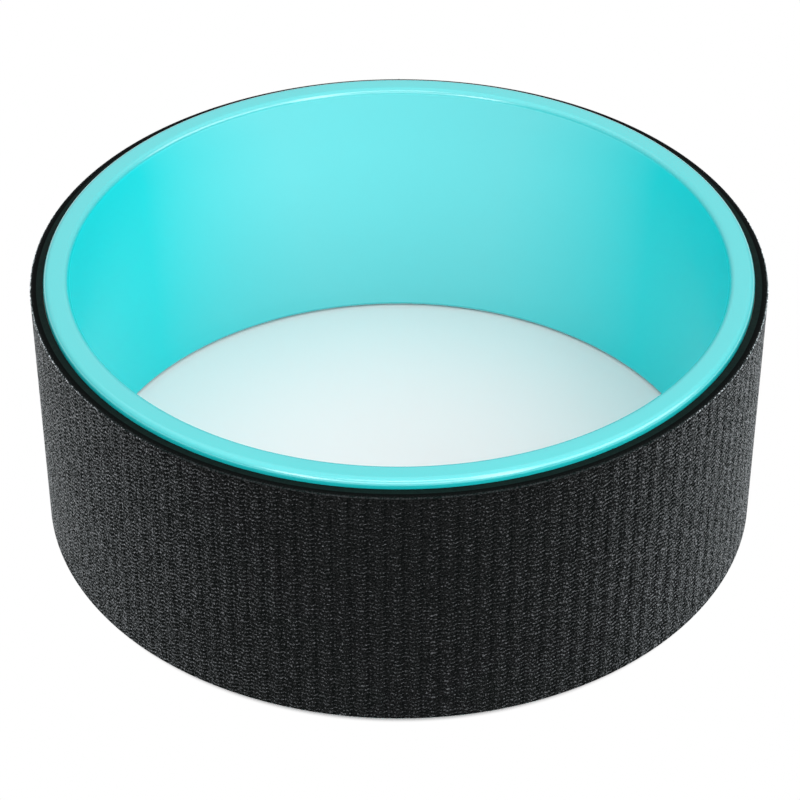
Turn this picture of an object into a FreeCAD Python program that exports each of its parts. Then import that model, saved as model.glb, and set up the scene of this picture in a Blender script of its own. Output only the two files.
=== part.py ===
import FreeCAD, Part
import os
import Sketcher

# Yoga wheel: a ribbed hoop, the band that closes its channel, and the mat bonded round the outside.
# The wheel lies on one rim: +Z is its axis, and the origin is at the centre of the rim that it lies on.
# Lengths are in millimetres.
SIZES = {
    "wheel_diameter": 330.0,
    "hoop_width": 130.0,
    "hoop_depth": 11.5,
    "wall_thick": 3.5,
    "rim_thick": 6.0,
    "inner_round": 3.0,
    "outer_round": 3.0,
    "rib_thick": 2.5,
    "axial_rib_count": 36,
    "ring_rib_count": 3,
    "band_thick": 2.5,
    "band_clearance": 0.2,
    "band_gap": 1.0,
    "mat_width": 122.0,
    "adhesive_thick": 0.2,
    "adhesive_inset": 1.0,
    "backing_thick": 3.0,
    "face_thick": 2.8,
    "face_round": 0.6,
    "seam_gap": 0.4,
    "seam_recess": 0.3,
}

# Sizes that follow from those: radii from the outside in, then heights, then angles in degrees.
DERIVED = {
    "face_outer": "wheel_diameter / 2",
    "seam_outer": "face_outer - seam_recess",
    "face_inner": "face_outer - face_thick",
    "backing_inner": "face_inner - backing_thick",
    "hoop_outer": "backing_inner - adhesive_thick",
    "band_inner": "hoop_outer - band_thick",
    "bore_radius": "hoop_outer - hoop_depth",
    "wall_outer": "bore_radius + wall_thick",
    "rib_root": "bore_radius + wall_thick / 2",
    "rim_top": "hoop_width - rim_thick",
    "rib_bottom": "rim_thick / 2",
    "rib_top": "hoop_width - rim_thick / 2",
    "rib_cell": "(rim_top - rim_thick - ring_rib_count * rib_thick) / (ring_rib_count + 1)",
    "ring_rib_bottom": "rim_thick + rib_cell",
    "ring_rib_top": "ring_rib_bottom + rib_thick",
    "ring_rib_span": "(ring_rib_count - 1) * (rib_cell + rib_thick)",
    "band_bottom": "rim_thick + band_clearance",
    "band_top": "rim_top - band_clearance",
    "mat_bottom": "(hoop_width - mat_width) / 2",
    "mat_top": "mat_bottom + mat_width",
    "film_bottom": "mat_bottom + adhesive_inset",
    "film_top": "mat_top - adhesive_inset",
    "axial_rib_angle": "rib_thick / band_inner * 180 / pi",
    "band_angle": "360 - band_gap / hoop_outer * 180 / pi",
    "seam_angle": "seam_gap / face_outer * 180 / pi",
    "mat_angle": "360 - seam_angle",
}

ZERO = "zero"
AXIS = FreeCAD.Vector(0, 0, 1)
FULL_TURN = 360
QUARTER_TURN = 90
SAME_PLACE = 1e-4

doc = FreeCAD.newDocument("yoga_wheel")
sheet = doc.addObject("Spreadsheet::Sheet", "sizes")


def fill_sheet():
    """Gives each size a cell, with the size's name as its alias."""
    rows = list(SIZES.items())
    rows += [(name, "=" + rule) for name, rule in DERIVED.items()]
    for row, (name, value) in enumerate(rows, start=1):
        sheet.set(f"A{row}", name)
        sheet.set(f"B{row}", str(value))
        sheet.setAlias(f"B{row}", name)
    doc.recompute()


def size(name):
    """The present value of a size, as a plain number."""
    return 0.0 if name == ZERO else float(getattr(sheet, name))


def bind(feature, prop, name):
    feature.setExpression(prop, "sizes." + name)


def new_body(label):
    body = doc.addObject("PartDesign::Body", label)
    body.Label = label
    return body


def origin_part(body, role):
    """One of the body's own origin planes or axes."""
    return next(item for item in body.Origin.OriginFeatures if item.Role == role)


def place_corner(sketch, edge, radius, height):
    """Ties the start of an edge to two sizes, measured from the sketch's origin."""
    upright_axis = -2
    level_axis = -1
    for kind, name, axis in (("DistanceX", radius, upright_axis), ("DistanceY", height, level_axis)):
        if name == ZERO:
            sketch.addConstraint(Sketcher.Constraint("PointOnObject", edge, 1, axis))
        else:
            index = sketch.addConstraint(Sketcher.Constraint(kind, -1, 1, edge, 1, size(name)))
            bind(sketch, f"Constraints[{index}]", name)


def draw_section(body, name, corners):
    """A closed outline through corners, each a radius and a height, on a plane through the axis."""
    sketch = body.newObject("Sketcher::SketchObject", name + "_section")
    sketch.AttachmentSupport = [(origin_part(body, "XZ_Plane"), "")]
    sketch.MapMode = "FlatFace"
    points = [FreeCAD.Vector(size(radius), size(height), 0) for radius, height in corners]
    edges = []
    for here, there in zip(points, points[1:] + points[:1]):
        edges.append(sketch.addGeometry(Part.LineSegment(here, there), False))
    for edge, following in zip(edges, edges[1:] + edges[:1]):
        sketch.addConstraint(Sketcher.Constraint("Coincident", edge, 2, following, 1))
    for edge, (radius, height) in zip(edges, corners):
        place_corner(sketch, edge, radius, height)
    return sketch


def rectangle(inner, outer, bottom, top):
    return [(inner, bottom), (outer, bottom), (outer, top), (inner, top)]


def revolve(body, name, corners, angle=None):
    """Turns an outline about the wheel's axis: a full ring, or an angle that straddles the outline."""
    ring = body.newObject("PartDesign::Revolution", name)
    ring.Profile = draw_section(body, name, corners)
    ring.ReferenceAxis = (ring.Profile[0], ["V_Axis"])
    ring.Angle = FULL_TURN
    if angle:
        ring.Midplane = True
        bind(ring, "Angle", angle)
    doc.recompute()
    return ring


def round_edges(body, name, circles, radius):
    """Rounds the circular edges that lie at the given radii and heights."""
    base = body.Tip
    places = [(size(around), size(height)) for around, height in circles]
    picked = []
    for number, edge in enumerate(base.Shape.Edges, start=1):
        if not isinstance(edge.Curve, Part.Circle):
            continue
        for around, height in places:
            same_radius = abs(edge.Curve.Radius - around) < SAME_PLACE
            if same_radius and abs(edge.Curve.Center.z - height) < SAME_PLACE:
                picked.append(f"Edge{number}")
    fillet = body.newObject("PartDesign::Fillet", name)
    fillet.Base = (base, picked)
    bind(fillet, "Radius", radius)
    doc.recompute()


def face_back(body, turns):
    """Turns a body about the axis by quarter turns, so that its joint is at the wheel's back."""
    body.Placement = FreeCAD.Placement(FreeCAD.Vector(), FreeCAD.Rotation(AXIS, turns * QUARTER_TURN))


def core_hoop():
    """The moulded channel: inner wall, two rims, and a grid of ribs on the outside of the wall."""
    body = new_body("core_hoop")
    channel = [
        ("bore_radius", ZERO),
        ("hoop_outer", ZERO),
        ("hoop_outer", "rim_thick"),
        ("wall_outer", "rim_thick"),
        ("wall_outer", "rim_top"),
        ("hoop_outer", "rim_top"),
        ("hoop_outer", "hoop_width"),
        ("bore_radius", "hoop_width"),
    ]
    revolve(body, "channel", channel)
    bore_edges = [("bore_radius", ZERO), ("bore_radius", "hoop_width")]
    round_edges(body, "inner_rounds", bore_edges, "inner_round")
    rim_edges = [("hoop_outer", ZERO), ("hoop_outer", "hoop_width")]
    round_edges(body, "outer_rounds", rim_edges, "outer_round")

    ring_rib = revolve(body, "ring_rib", rectangle("rib_root", "band_inner", "ring_rib_bottom", "ring_rib_top"))
    ring_ribs = body.newObject("PartDesign::LinearPattern", "ring_ribs")
    ring_ribs.Originals = [ring_rib]
    ring_ribs.Direction = (origin_part(body, "Z_Axis"), [""])
    bind(ring_ribs, "Length", "ring_rib_span")
    bind(ring_ribs, "Occurrences", "ring_rib_count")
    body.Tip = ring_ribs

    rib_outline = rectangle("rib_root", "band_inner", "rib_bottom", "rib_top")
    axial_rib = revolve(body, "axial_rib", rib_outline, "axial_rib_angle")
    axial_ribs = body.newObject("PartDesign::PolarPattern", "axial_ribs")
    axial_ribs.Originals = [axial_rib]
    axial_ribs.Axis = (origin_part(body, "Z_Axis"), [""])
    axial_ribs.Angle = FULL_TURN
    bind(axial_ribs, "Occurrences", "axial_rib_count")
    body.Tip = axial_ribs
    return body


def closing_band():
    """The strip wrapped over the ribs, flush with the rims, with its ends nearly meeting."""
    body = new_body("closing_band")
    revolve(body, "band", rectangle("band_inner", "hoop_outer", "band_bottom", "band_top"), "band_angle")
    face_back(body, 1)
    return body


def mat_layer(label, inner, outer, bottom="mat_bottom", top="mat_top"):
    """One layer of the mat strip, as wide as the mat or as given, with its ends butted at the back."""
    body = new_body(label)
    revolve(body, label + "_strip", rectangle(inner, outer, bottom, top), "mat_angle")
    face_back(body, -1)
    return body


def mat_face():
    """The grained top layer, with its two outer edges slightly rounded."""
    body = mat_layer("mat_face", "face_inner", "face_outer")
    edges = [("face_outer", "mat_bottom"), ("face_outer", "mat_top")]
    round_edges(body, "face_rounds", edges, "face_round")
    return body


def mat_seam_bond():
    """The glue line that fills the mat's butt joint, a little below the mat's surface."""
    body = new_body("mat_seam_bond")
    revolve(body, "bond", rectangle("hoop_outer", "seam_outer", "mat_bottom", "mat_top"), "seam_angle")
    face_back(body, 1)
    return body


def check(bodies):
    """Stops if any feature failed or any piece is not one sound solid."""
    for item in doc.Objects:
        if "Invalid" in item.State or "Error" in item.State:
            raise RuntimeError(f"{item.Label} failed: {item.State}")
    for body in bodies:
        shape = body.Shape
        if shape.isNull() or not shape.isValid() or len(shape.Solids) != 1:
            raise RuntimeError(f"{body.Label} is not one sound solid")


def write(bodies):
    os.makedirs("parts", exist_ok=True)
    for body in bodies:
        body.Shape.exportStep(f"parts/{body.Label}.step")
        print(body.Label, round(body.Shape.Volume), "cubic millimetres")


fill_sheet()
pieces = [
    core_hoop(),
    closing_band(),
    mat_layer("mat_adhesive", "hoop_outer", "backing_inner", "film_bottom", "film_top"),
    mat_layer("mat_backing", "backing_inner", "face_inner"),
    mat_face(),
    mat_seam_bond(),
]
doc.recompute()
check(pieces)
write(pieces)
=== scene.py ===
import math

import bmesh
import bpy
import numpy as np
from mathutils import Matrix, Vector


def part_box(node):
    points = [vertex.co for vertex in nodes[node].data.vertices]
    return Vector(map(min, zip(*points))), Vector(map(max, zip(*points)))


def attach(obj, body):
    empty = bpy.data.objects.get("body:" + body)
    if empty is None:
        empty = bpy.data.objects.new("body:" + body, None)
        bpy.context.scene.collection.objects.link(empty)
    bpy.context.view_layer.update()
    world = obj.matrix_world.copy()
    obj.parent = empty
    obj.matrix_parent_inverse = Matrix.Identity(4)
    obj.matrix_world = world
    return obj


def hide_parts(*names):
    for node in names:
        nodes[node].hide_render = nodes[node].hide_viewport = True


# Yoga wheel lying on one rim: glossy hoop, foam mat with an embossed knit-like grain, white studio floor.
# Lengths are in metres, in the part's own frame, and heights are above the floor.
MM = 0.001
SAME_PLACE = 0.001 * MM
SEED = 7

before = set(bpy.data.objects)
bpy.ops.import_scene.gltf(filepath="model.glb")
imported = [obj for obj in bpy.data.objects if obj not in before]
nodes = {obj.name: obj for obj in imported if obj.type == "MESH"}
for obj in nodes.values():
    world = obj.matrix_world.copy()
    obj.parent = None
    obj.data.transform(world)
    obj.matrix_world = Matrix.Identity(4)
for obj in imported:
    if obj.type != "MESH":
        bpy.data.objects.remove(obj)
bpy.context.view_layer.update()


def ring_span(node):
    """Inner radius, outer radius, bottom and top of a CAD ring, from its vertices."""
    points = np.array([vertex.co for vertex in nodes[node].data.vertices])
    radii = np.hypot(points[:, 0], points[:, 1])
    return radii.min(), radii.max(), points[:, 2].min(), points[:, 2].max()


HOOP_IN, HOOP_OUT, HOOP_LOW, HOOP_HIGH = ring_span("core_hoop")
BACKING_IN, BACKING_OUT, MAT_LOW, MAT_HIGH = ring_span("mat_backing")
FACE_IN, FACE_OUT, _, _ = ring_span("mat_face")
BAND_IN = ring_span("closing_band")[0]
SEAM_LOW, SEAM_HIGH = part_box("mat_seam_bond")
SEAM_WIDTH = SEAM_HIGH.x - SEAM_LOW.x
SEAM_ANGLE = math.pi / 2
MIDDLE = Vector((0, 0, (HOOP_LOW + HOOP_HIGH) / 2))

# The hoop's own sizes, which the frame doesn't give.
RIM = 6.0 * MM
RIM_ROUND = 3.0 * MM
WALL = 3.5 * MM
RIB = 2.5 * MM
AXIAL_RIBS = 36
RING_RIBS = 3

# The mat's grain has columns round the wheel and rows up the mat. Its depth is that of its deepest pits.
COLUMN_PITCH = 7.45 * MM
ROW_PITCH = 2.11 * MM
GRAIN_DEPTH = 0.7 * MM
# The mat's corners are rounded above and below the grain.
EDGE_ROUND = 0.6 * MM


# Material nodes


def material(name):
    """A new node material with its tree and its main shader."""
    made = bpy.data.materials.new(name)
    made.use_nodes = True
    tree = made.node_tree
    return made, tree, tree.nodes["Principled BSDF"]


def fill(node, **values):
    """Sets inputs of a node by name, with spaces written as underscores."""
    for name, value in values.items():
        node.inputs[name.replace("_", " ")].default_value = value


def wire(tree, node, **sources):
    """Links sources to inputs of a node by name, with spaces written as underscores."""
    for name, source in sources.items():
        tree.links.new(source, node.inputs[name.replace("_", " ")])


def noise(tree, scale, detail=3.0):
    """Noise in the object's own coordinates, with its scale in features per metre."""
    place = tree.nodes.new("ShaderNodeTexCoord")
    node = tree.nodes.new("ShaderNodeTexNoise")
    fill(node, Scale=scale, Detail=detail, Roughness=0.5)
    wire(tree, node, Vector=place.outputs["Object"])
    return node.outputs["Fac"]


def ramp(tree, source, low, high, start=0.3, end=0.7):
    """Colours from low to high as the source goes from start to end."""
    node = tree.nodes.new("ShaderNodeValToRGB")
    for element, place, colour in zip(node.color_ramp.elements, (start, end), (low, high)):
        element.position = place
        element.color = (*colour, 1)
    wire(tree, node, Fac=source)
    return node.outputs["Color"]


def spread(tree, source, low, high, start=0.3, end=0.7, soft=False):
    """A number from low to high as the source goes from start to end, with soft ends if asked."""
    node = tree.nodes.new("ShaderNodeMapRange")
    if soft:
        node.interpolation_type = "SMOOTHSTEP"
    fill(node, From_Min=start, From_Max=end, To_Min=low, To_Max=high)
    wire(tree, node, Value=source)
    return node.outputs["Result"]


def bump(tree, source, height, strength):
    node = tree.nodes.new("ShaderNodeBump")
    fill(node, Distance=height, Strength=strength)
    wire(tree, node, Height=source)
    return node.outputs["Normal"]


def combine(tree, operation, *sources):
    """One number worked out from others."""
    node = tree.nodes.new("ShaderNodeMath")
    node.operation = operation
    for source, place in zip(sources, node.inputs):
        tree.links.new(source, place)
    return node.outputs[0]


def scaled(tree, colour, amount):
    """A colour times a number."""
    node = tree.nodes.new("ShaderNodeVectorMath")
    node.operation = "SCALE"
    wire(tree, node, Vector=colour, Scale=amount)
    return node.outputs["Vector"]


def mixed(tree, share, colour, other):
    """A colour that turns into another, fixed one as the share goes from zero to one."""
    node = tree.nodes.new("ShaderNodeMixRGB")
    fill(node, Color2=(*other, 1))
    wire(tree, node, Fac=share, Color1=colour)
    return node.outputs["Color"]


def length(tree, vector):
    node = tree.nodes.new("ShaderNodeVectorMath")
    node.operation = "LENGTH"
    tree.links.new(vector, node.inputs[0])
    return node.outputs["Value"]


def upright(tree, vector):
    """The vertical part of a vector."""
    node = tree.nodes.new("ShaderNodeSeparateXYZ")
    wire(tree, node, Vector=vector)
    return node.outputs["Z"]


def from_axis(tree):
    """Distance from the wheel's axis."""
    place = tree.nodes.new("ShaderNodeTexCoord")
    flat = tree.nodes.new("ShaderNodeVectorMath")
    flat.operation = "MULTIPLY"
    flat.inputs[1].default_value = (1, 1, 0)
    tree.links.new(place.outputs["Object"], flat.inputs[0])
    return length(tree, flat.outputs["Vector"])


def aslant(tree):
    """Zero where a surface is seen face on, and one where it is seen edge on."""
    return tree.nodes.new("ShaderNodeLayerWeight").outputs["Facing"]


# Materials. Colours are linear red, green and blue, from the darker to the lighter end of their variation.

DEEP_TURQUOISE = (0.008, 0.655, 0.685), (0.012, 0.68, 0.71)
# Colour of a painted sheen: the inner wall is drawn this pale where it is seen face on.
PAINTED_SHEEN_TURQUOISE = (0.165, 0.68, 0.705)
POLISH_START = HOOP_IN + 0.02 * MM
POLISH_END = HOOP_IN + 0.2 * MM
PLASTIC_RIPPLE = 0.05 * MM


def hoop_plastic():
    """Turquoise plastic: polished rims with painted shade, and a satin inner wall with a painted sheen,
    paler seen face on.
    """
    made, tree, shader = material("hoop_plastic")
    away = from_axis(tree)

    def wall_to_rim(wall, rim):
        return spread(tree, away, wall, rim, POLISH_START, POLISH_END)

    deep = ramp(tree, noise(tree, 9, 2), *DEEP_TURQUOISE)
    # Painted sheen: the inner wall turns paler where it is seen face on, but the rims do not.
    face_on = spread(tree, aslant(tree), 1.0, 0.0, 0.2, 0.45)
    pale = combine(tree, "MULTIPLY", face_on, wall_to_rim(1.0, 0.0))
    colour = mixed(tree, pale, deep, PAINTED_SHEEN_TURQUOISE)
    # Painted shade: the rims' colour is scaled down against the wall's, to offset the stronger light they
    # catch.
    wire(
        tree,
        shader,
        Base_Color=scaled(tree, colour, wall_to_rim(1.0, 0.77)),
        Roughness=wall_to_rim(0.38, 0.28),
        Coat_Weight=wall_to_rim(0.0, 1.0),
        Normal=bump(tree, noise(tree, 420, 2), PLASTIC_RIPPLE, 0.12),
    )
    fill(shader, IOR=1.5, Specular_IOR_Level=0.3, Coat_IOR=2.1, Coat_Roughness=0.2)
    return made


BAND_GREY = (0.26, 0.27, 0.28), (0.34, 0.35, 0.36)
FILM_CREAM = (0.55, 0.51, 0.41), (0.66, 0.62, 0.52)


def band_plastic():
    made, tree, shader = material("band_plastic")
    wire(
        tree,
        shader,
        Base_Color=ramp(tree, noise(tree, 40), *BAND_GREY),
        Roughness=spread(tree, noise(tree, 300), 0.45, 0.6),
        Normal=bump(tree, noise(tree, 1500), PLASTIC_RIPPLE, 0.3),
    )
    return made


def adhesive_film():
    made, tree, shader = material("adhesive_film")
    wire(
        tree,
        shader,
        Base_Color=ramp(tree, noise(tree, 200), *FILM_CREAM),
        Roughness=spread(tree, noise(tree, 800), 0.25, 0.45),
    )
    return made


# The foam's faint turquoise tint is a painted reflection of the hoop's light.
FOAM_BLACK_PAINTED_TEAL = (0.002, 0.008, 0.007), (0.004, 0.012, 0.010)
FOAM_PORE = 0.15 * MM
GLUE_BLACK = (0.008, 0.008, 0.009), (0.012, 0.012, 0.013)
GLUE_PORE = 0.1 * MM


def mat_rubber(name, colours, pore_scale, pore_depth):
    """Matt black foam rubber: slight mottling and fine pores."""
    made, tree, shader = material(name)
    wire(
        tree,
        shader,
        Base_Color=ramp(tree, noise(tree, 350, 4), *colours),
        Roughness=spread(tree, noise(tree, 900), 0.5, 0.68),
        Normal=bump(tree, noise(tree, pore_scale, 2), pore_depth, 0.4),
    )
    fill(shader, Specular_IOR_Level=0.06)
    return made


# This attribute says how light each point of the grain is drawn: worn ridges light, painted shade in
# valleys and pits.
RELIEF = "relief"
# The darkest end is tinted turquoise: a painted reflection of the hoop's light on the cut edge and in the
# pits.
GRAIN_BLACK = (0.0004, 0.0013, 0.0012), (0.0056, 0.0061, 0.0065)
GRAIN_PORE = 0.06 * MM
# How many times the painted sheen lightens worn ridges seen aslant.
PAINTED_SHEEN_MOST = 55.0
# How many times the painted highlight lightens the mat's rounded corners.
PAINTED_HIGHLIGHT_MOST = 5.0
CORNER_BLEND_SHARE = 0.001


def mat_corner(tree):
    """One on the mat's two rounded corners, and zero on its cut edges and its face."""
    place = tree.nodes.new("ShaderNodeNewGeometry")
    height = upright(tree, place.outputs["Position"])
    from_middle = combine(tree, "ABSOLUTE", spread(tree, height, -1.0, 1.0, MAT_LOW, MAT_HIGH))
    face_share = 1 - EDGE_ROUND / (MAT_HIGH - MAT_LOW) * 2
    past_face = spread(tree, from_middle, 0.0, 1.0, face_share, face_share + CORNER_BLEND_SHARE)
    slope = combine(tree, "ABSOLUTE", upright(tree, place.outputs["True Normal"]))
    return combine(tree, "MULTIPLY", past_face, spread(tree, slope, 1.0, 0.0, 0.85, 0.95))


def mat_grain():
    """The mat's face: worn ridges, with painted shade in its pits, a painted highlight on its corners and a
    painted sheen aslant.
    """
    made, tree, shader = material("mat_grain")
    relief = tree.nodes.new("ShaderNodeAttribute")
    relief.attribute_name = RELIEF
    patches = spread(tree, noise(tree, 1500, 2), 0.0, 1.4, 0.38, 0.72)
    worn_and_shaded = combine(tree, "MULTIPLY", relief.outputs["Fac"], patches)
    # Painted shade: valleys and pits take the dark end of the ramp, worn ridges the light end.
    colour = ramp(tree, worn_and_shaded, *GRAIN_BLACK, 0.1, 1.0)
    # Painted sheen: worn ridges seen aslant are drawn many times lighter.
    aslant_painted_sheen = spread(tree, combine(tree, "MULTIPLY", aslant(tree), worn_and_shaded), 1.0, PAINTED_SHEEN_MOST, 0.18, 0.8)
    # Painted highlight: the mat's rounded corners are drawn several times lighter.
    corner_painted_highlight = spread(tree, mat_corner(tree), 1.0, PAINTED_HIGHLIGHT_MOST, 0.0, 1.0)
    wire(
        tree,
        shader,
        Base_Color=scaled(tree, scaled(tree, colour, aslant_painted_sheen), corner_painted_highlight),
        Roughness=spread(tree, worn_and_shaded, 0.95, 0.3, 0.15, 0.55),
        Normal=bump(tree, noise(tree, 2600, 2), GRAIN_PORE, 0.4),
    )
    fill(shader, Specular_IOR_Level=0.08)
    return made


HOOP_PLASTIC = hoop_plastic()
BAND_PLASTIC = band_plastic()
ADHESIVE_FILM = adhesive_film()
MAT_GRAIN = mat_grain()
MAT_FOAM = mat_rubber("mat_foam", FOAM_BLACK_PAINTED_TEAL, 1800, FOAM_PORE)
SEAM_GLUE = mat_rubber("seam_glue", GLUE_BLACK, 700, GLUE_PORE)


# Pieces


def ring_mesh(name, angles, sections, whole=False):
    """A solid round the axis, whole or with end caps: one loop of (radius, height) points per angle."""
    count, corners = sections.shape[:2]
    radius, height = sections[:, :, 0], sections[:, :, 1]
    across = np.cos(angles)[:, None] * radius
    along = np.sin(angles)[:, None] * radius
    points = np.stack([across, along, height], axis=2).reshape(-1, 3)
    place = np.arange(count * corners).reshape(count, corners)
    here = np.vstack([place, place[:1]]) if whole else place
    above = np.roll(here, -1, axis=1)
    quads = np.stack([here[:-1], here[1:], above[1:], above[:-1]], axis=2).reshape(-1, 4)
    faces = quads.tolist()
    if not whole:
        faces += [place[0].tolist(), place[-1][::-1].tolist()]
    mesh = bpy.data.meshes.new(name)
    mesh.from_pydata(points.tolist(), [], faces)
    mesh.update()
    piece = bpy.data.objects.new(name, mesh)
    bpy.context.collection.objects.link(piece)
    return piece


def smooth(piece, corner_angle):
    """Smooth shading, with edges sharper than the given angle, in degrees, kept as edges."""
    piece.data.polygons.foreach_set("use_smooth", [True] * len(piece.data.polygons))
    piece.data.set_sharp_from_angle(angle=math.radians(corner_angle))


def crease(piece, corners, lines):
    """Marks as sharp the edges that run round the wheel along the given lines of a ring mesh's sections."""
    edges = np.zeros(len(piece.data.edges) * 2, dtype=int)
    piece.data.edges.foreach_get("vertices", edges)
    line = edges.reshape(-1, 2) % corners
    sharp = np.zeros(len(line), dtype=bool)
    piece.data.attributes["sharp_edge"].data.foreach_get("value", sharp)
    sharp |= (line[:, 0] == line[:, 1]) & np.isin(line[:, 0], lines)
    piece.data.attributes["sharp_edge"].data.foreach_set("value", sharp)


def weld(piece):
    """Joins points that lie in one place, which also drops the faces between them."""
    shape = bmesh.new()
    shape.from_mesh(piece.data)
    bmesh.ops.remove_doubles(shape, verts=shape.verts, dist=SAME_PLACE)
    shape.to_mesh(piece.data)
    shape.free()


HOOP_SHARP = 50
ROUND_STEPS = 12
WALL_STEPS = 10
BAY_STEPS = 10


def rim_round(radius, height, start):
    """A quarter round about a centre, from a start angle in degrees."""
    turn = np.radians(np.linspace(start, start + 90, ROUND_STEPS + 1))
    return [(radius + RIM_ROUND * math.cos(t), height + RIM_ROUND * math.sin(t)) for t in turn]


def hoop_section(floor_radius):
    """The hoop's section, with the channel's floor between the ring ribs at the given radius."""
    bay = (HOOP_HIGH - HOOP_LOW - 2 * RIM - RING_RIBS * RIB) / (RING_RIBS + 1)
    low, high = HOOP_LOW + RIM_ROUND, HOOP_HIGH - RIM_ROUND
    points = rim_round(HOOP_IN + RIM_ROUND, low, 180)
    points += rim_round(HOOP_OUT - RIM_ROUND, low, 270)
    points += [(HOOP_OUT, HOOP_LOW + RIM), (floor_radius, HOOP_LOW + RIM)]
    for rib in range(RING_RIBS):
        start = HOOP_LOW + RIM + bay + rib * (bay + RIB)
        points += [(floor_radius, start), (BAND_IN, start)]
        points += [(BAND_IN, start + RIB), (floor_radius, start + RIB)]
    points += [(floor_radius, HOOP_HIGH - RIM), (HOOP_OUT, HOOP_HIGH - RIM)]
    points += rim_round(HOOP_OUT - RIM_ROUND, high, 0)
    points += rim_round(HOOP_IN + RIM_ROUND, high, 90)
    points += [(HOOP_IN, z) for z in np.linspace(high, low, WALL_STEPS + 1)[1:-1]]
    return points


def core_hoop():
    """The moulded hoop: smooth wall and rims, and the grid of ribs in the channel behind the wall."""
    bay_section = hoop_section(HOOP_IN + WALL)
    rib_section = hoop_section(BAND_IN)
    half_rib = RIB / BAND_IN / 2
    step = 2 * math.pi / AXIAL_RIBS
    angles, sections = [], []
    for rib in range(AXIAL_RIBS):
        middle = rib * step
        angles += [middle - half_rib, middle + half_rib]
        sections += [rib_section, rib_section]
        bay_angles = np.linspace(middle + half_rib, middle + step - half_rib, BAY_STEPS + 1)
        angles += list(bay_angles)
        sections += [bay_section] * len(bay_angles)
    piece = ring_mesh("hoop_moulding", np.array(angles), np.array(sections), whole=True)
    weld(piece)
    smooth(piece, HOOP_SHARP)
    piece.data.materials.append(HOOP_PLASTIC)
    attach(piece, "root")
    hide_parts("core_hoop")


# Each column of the grain has these stations, from the shallow groove on its left. The shares are the
# place across the column's pitch, the depths of the rows' ridges and of the valleys between them against
# the grain's depth, the lift of the rows against their pitch, and how light the ridges and the valleys are
# drawn: worn ridges lighter, and painted shade that darkens the valleys, the pits and the groove.
STATION_SHARES = (
    (0.0, 0.057, 0.371, -0.047, 0.72, 0.60),
    (0.1275, 0.0, 0.486, 0.0, 1.05, 0.72),
    (0.282, 0.014, 0.371, -0.417, 0.90, 0.70),
    (0.577, 0.014, 0.486, -0.251, 0.90, 0.64),
    (0.752, 0.0, 1.0, -0.109, 1.05, 0.05),
    (0.8725, 0.0, 0.571, 0.0, 1.05, 0.60),
)
EDGE_WORN_AND_SHADED_SHARES = (0.0, 0.5)
DEPTH_UNEVEN_SHARE = 0.22
LIFT_UNEVEN = 0.06 * MM
GRAIN_SHARP = 75


def grain_stations(columns):
    """All stations round the wheel, with places counted in columns, and one more at the far end."""
    stations = np.tile(np.array(STATION_SHARES), (columns, 1))
    stations[:, 0] += np.repeat(np.arange(columns), len(STATION_SHARES))
    last = np.array(STATION_SHARES[0])
    last[0] = columns
    return np.vstack([stations, last])


def mat_face():
    """The mat's top layer, with the rows and columns of its grain as real relief."""
    chance = np.random.default_rng(SEED)
    strip = 2 * math.pi * FACE_OUT - SEAM_WIDTH
    columns = round(strip / COLUMN_PITCH)
    grain_low, grain_high = MAT_LOW + EDGE_ROUND, MAT_HIGH - EDGE_ROUND
    rows = round((grain_high - grain_low) / ROW_PITCH)
    place, ridge, valley, lift, ridge_worn_and_shaded, valley_worn_and_shaded = grain_stations(columns).T[:, :, None]
    angles = SEAM_ANGLE + (place[:, 0] / columns * strip + SEAM_WIDTH / 2) / FACE_OUT

    level = np.linspace(grain_low, grain_high, 2 * rows + 1)
    on_ridge = np.arange(len(level)) % 2 == 0
    inside = np.ones(len(level))
    inside[[0, -1]] = 0
    uneven = chance.uniform(1 - DEPTH_UNEVEN_SHARE, 1, (len(angles), len(level)))
    wander = chance.normal(0, LIFT_UNEVEN, uneven.shape)
    radii = FACE_OUT - np.where(on_ridge, ridge, valley) * GRAIN_DEPTH * uneven * inside
    heights = level + (lift * ROW_PITCH + wander) * inside
    # How light each line is drawn: worn ridges light, painted shade in the valleys and pits.
    worn_and_shaded = np.where(on_ridge, ridge_worn_and_shaded, valley_worn_and_shaded)
    worn_and_shaded[:, [0, -1]] = 1

    corner = [(FACE_IN, MAT_LOW), (FACE_OUT - EDGE_ROUND, MAT_LOW)]
    low = np.tile(np.array(corner), (len(angles), 1, 1))
    high = low[:, ::-1].copy()
    high[:, :, 1] = MAT_LOW + MAT_HIGH - high[:, :, 1]
    sections = np.concatenate([low, np.stack([radii, heights], axis=2), high], axis=1)
    piece = ring_mesh("mat_face_grain", angles, sections)
    smooth(piece, GRAIN_SHARP)
    crease(piece, sections.shape[1], len(corner) + np.flatnonzero(~on_ridge))
    edge = np.tile(EDGE_WORN_AND_SHADED_SHARES, (len(angles), 1))
    relief = np.concatenate([edge, worn_and_shaded, edge[:, ::-1]], axis=1)
    piece.data.attributes.new(RELIEF, "FLOAT", "POINT").data.foreach_set("value", relief.ravel())
    piece.data.materials.append(MAT_GRAIN)
    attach(piece, "root")
    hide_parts("mat_face")


FOAM_STEPS = 720
FOAM_LINES = 6
FOAM_DENT = 0.12 * MM
FOAM_SHARP = 60


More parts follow.
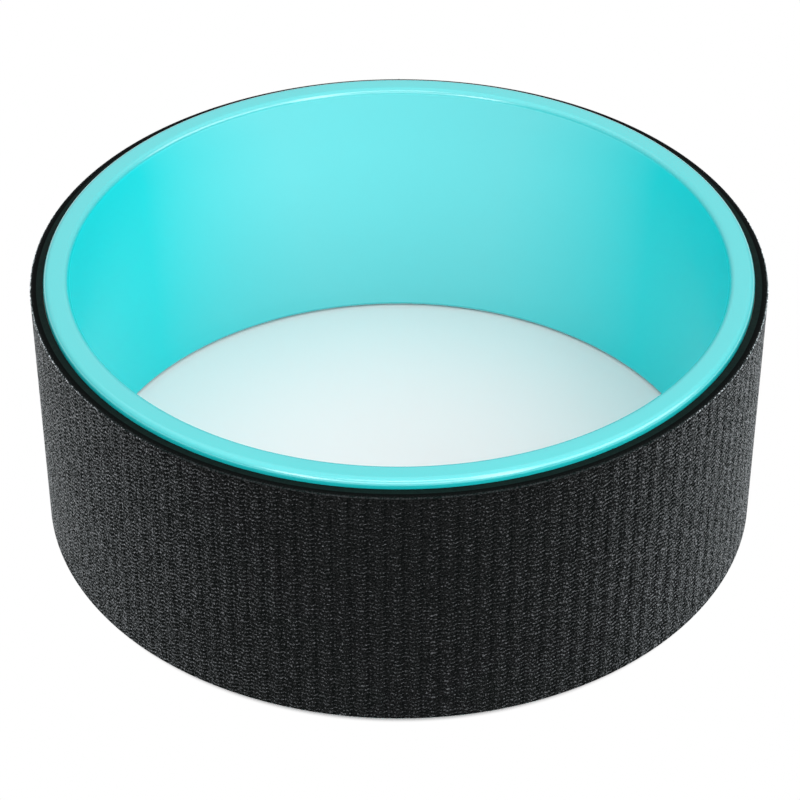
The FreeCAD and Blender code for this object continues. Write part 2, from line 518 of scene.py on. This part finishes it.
def mat_backing():
    """The mat's foam layer, with a knife-cut edge that is slightly uneven."""
    chance = np.random.default_rng(SEED)
    gap = SEAM_WIDTH / BACKING_OUT
    angles = np.linspace(SEAM_ANGLE + gap / 2, SEAM_ANGLE + 2 * math.pi - gap / 2, FOAM_STEPS)
    across = np.linspace(BACKING_IN, BACKING_OUT, FOAM_LINES)
    dents = chance.uniform(0, FOAM_DENT, (2, FOAM_STEPS, FOAM_LINES))
    dents[:, :, [0, -1]] = 0
    radii = np.tile(across, (FOAM_STEPS, 1))
    low = np.stack([radii, MAT_LOW + dents[0]], axis=2)
    high = np.stack([radii, MAT_HIGH - dents[1]], axis=2)[:, ::-1]
    piece = ring_mesh("mat_backing_foam", angles, np.concatenate([low, high], axis=1))
    smooth(piece, FOAM_SHARP)
    piece.data.materials.append(MAT_FOAM)
    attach(piece, "root")
    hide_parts("mat_backing")


def dress(node, finish):
    """Gives a CAD node its finish."""
    slots = nodes[node].data.materials
    slots.clear()
    slots.append(finish)


dress("closing_band", BAND_PLASTIC)
dress("mat_adhesive", ADHESIVE_FILM)
dress("mat_seam_bond", SEAM_GLUE)
core_hoop()
mat_face()
mat_backing()


# Studio

# The floor's pink tint is painted to cancel the turquoise light the hoop bounces onto it.
FLOOR_COLOUR = (0.93, 0.82, 0.82, 1)
FLOOR_SIZE = 12.0
FLOOR_DROP = 0.1 * MM
SHADOW_START = HOOP_OUT + 0.5 * MM
SHADOW_END = HOOP_OUT + 4.0 * MM


def seen_directly(tree):
    """One for camera rays and for rays seen in gloss or through glass, and zero for light that bounces."""
    path = tree.nodes.new("ShaderNodeLightPath").outputs
    seen = combine(tree, "MAXIMUM", path["Is Camera Ray"], path["Is Glossy Ray"])
    return combine(tree, "MAXIMUM", seen, path["Is Transmission Ray"])


def floor_white():
    """A pale surface that shows as white away from the wheel, and keeps the shade in it and at its foot."""
    made, tree, shader = material("floor_white")
    fill(shader, Base_Color=FLOOR_COLOUR, Roughness=1.0, Specular_IOR_Level=0.0)
    place = tree.nodes.new("ShaderNodeNewGeometry")
    from_centre = length(tree, place.outputs["Position"])
    away = spread(tree, from_centre, 0.0, 1.0, SHADOW_START, SHADOW_END, soft=True)
    white = tree.nodes.new("ShaderNodeEmission")
    fill(white, Strength=1.0)
    mix = tree.nodes.new("ShaderNodeMixShader")
    wire(tree, mix, Fac=combine(tree, "MULTIPLY", seen_directly(tree), away))
    tree.links.new(shader.outputs["BSDF"], mix.inputs[1])
    tree.links.new(white.outputs["Emission"], mix.inputs[2])
    wire(tree, tree.nodes["Material Output"], Surface=mix.outputs["Shader"])
    return made


def floor():
    half = FLOOR_SIZE / 2
    corners = [(-half, -half, 0), (half, -half, 0), (half, half, 0), (-half, half, 0)]
    mesh = bpy.data.meshes.new("floor")
    mesh.from_pydata(corners, [], [(0, 1, 2, 3)])
    piece = bpy.data.objects.new("floor", mesh)
    piece.location.z = HOOP_LOW - FLOOR_DROP
    piece.data.materials.append(floor_white())
    bpy.context.collection.objects.link(piece)


# All turns and elevations in the studio are in degrees. Levels are brightness.
BACKDROP_TOP = 10
BACKDROP_LEVEL = 0.45
CEILING_START = 30
CEILING_LEVEL = 0.9


def sky():
    """Plain white light from all round, dimmer from the backdrop low down than from the ceiling."""
    world = bpy.data.worlds.new("studio")
    bpy.context.scene.world = world
    world.use_nodes = True
    tree = world.node_tree
    place = tree.nodes.new("ShaderNodeTexCoord")
    rise = upright(tree, place.outputs["Generated"])
    top, start = (math.sin(math.radians(angle)) for angle in (BACKDROP_TOP, CEILING_START))
    light = tree.nodes["Background"]
    fill(light, Color=(1, 1, 1, 1))
    wire(tree, light, Strength=spread(tree, rise, BACKDROP_LEVEL, CEILING_LEVEL, top, start, soft=True))


def aim(thing, place, target):
    """Puts a light or camera at a place, facing a target."""
    thing.location = place
    thing.rotation_euler = (target - place).to_track_quat("-Z", "Y").to_euler()


def around(distance, turn, elevation):
    """A place at a distance from the wheel's middle, turned from the front to the right, and raised."""
    side, rise = math.radians(turn), math.radians(elevation)
    level = distance * math.cos(rise)
    return MIDDLE + Vector((level * math.sin(side), -level * math.cos(side), distance * math.sin(rise)))


LAMP_DISTANCE = 3.0
# The turn and elevation of each lamp, its width and height in metres, and its radiance.
LAMPS = {
    "key_softbox": (72, 28, 2.6, 1.5, 1.85),
    "right_strip": (32, 36, 0.8, 2.2, 3.0),
    "front_softbox": (0, 54, 1.2, 0.5, 3.0),
    "left_strip": (-30, 26, 0.8, 1.0, 3.0),
    "front_panel": (0, 20, 4.0, 1.2, 1.5),
    "top_panel": (0, 88, 5.0, 5.0, 0.4),
}


def softbox(name, turn, elevation, width, height, radiance):
    """An even panel of light, aimed at the wheel."""
    lamp = bpy.data.lights.new(name, "AREA")
    lamp.shape = "RECTANGLE"
    lamp.size = width
    lamp.size_y = height
    lamp.energy = radiance * math.pi * width * height
    piece = bpy.data.objects.new(name, lamp)
    bpy.context.collection.objects.link(piece)
    aim(piece, around(LAMP_DISTANCE, turn, elevation), MIDDLE)


# The camera's lens and sensor are in millimetres, as the camera counts them.
CAMERA_DISTANCE = 1.2675
CAMERA_ELEVATION = 36.64
CAMERA_LENS = 123.28
CAMERA_SENSOR = 36.0
CAMERA_REACH = 100.0
CAMERA_AIM = Vector((0.42, 0, -14.46)) * MM


def camera():
    lens = bpy.data.cameras.new("camera")
    lens.sensor_width = CAMERA_SENSOR
    lens.lens = CAMERA_LENS
    lens.clip_end = CAMERA_REACH
    piece = bpy.data.objects.new("camera", lens)
    bpy.context.collection.objects.link(piece)
    aim(piece, around(CAMERA_DISTANCE, 0, CAMERA_ELEVATION), MIDDLE + CAMERA_AIM)
    bpy.context.scene.camera = piece


floor()
sky()
for lamp_name, lamp_values in LAMPS.items():
    softbox(lamp_name, *lamp_values)
camera()
bpy.context.scene.view_settings.view_transform = "Standard"
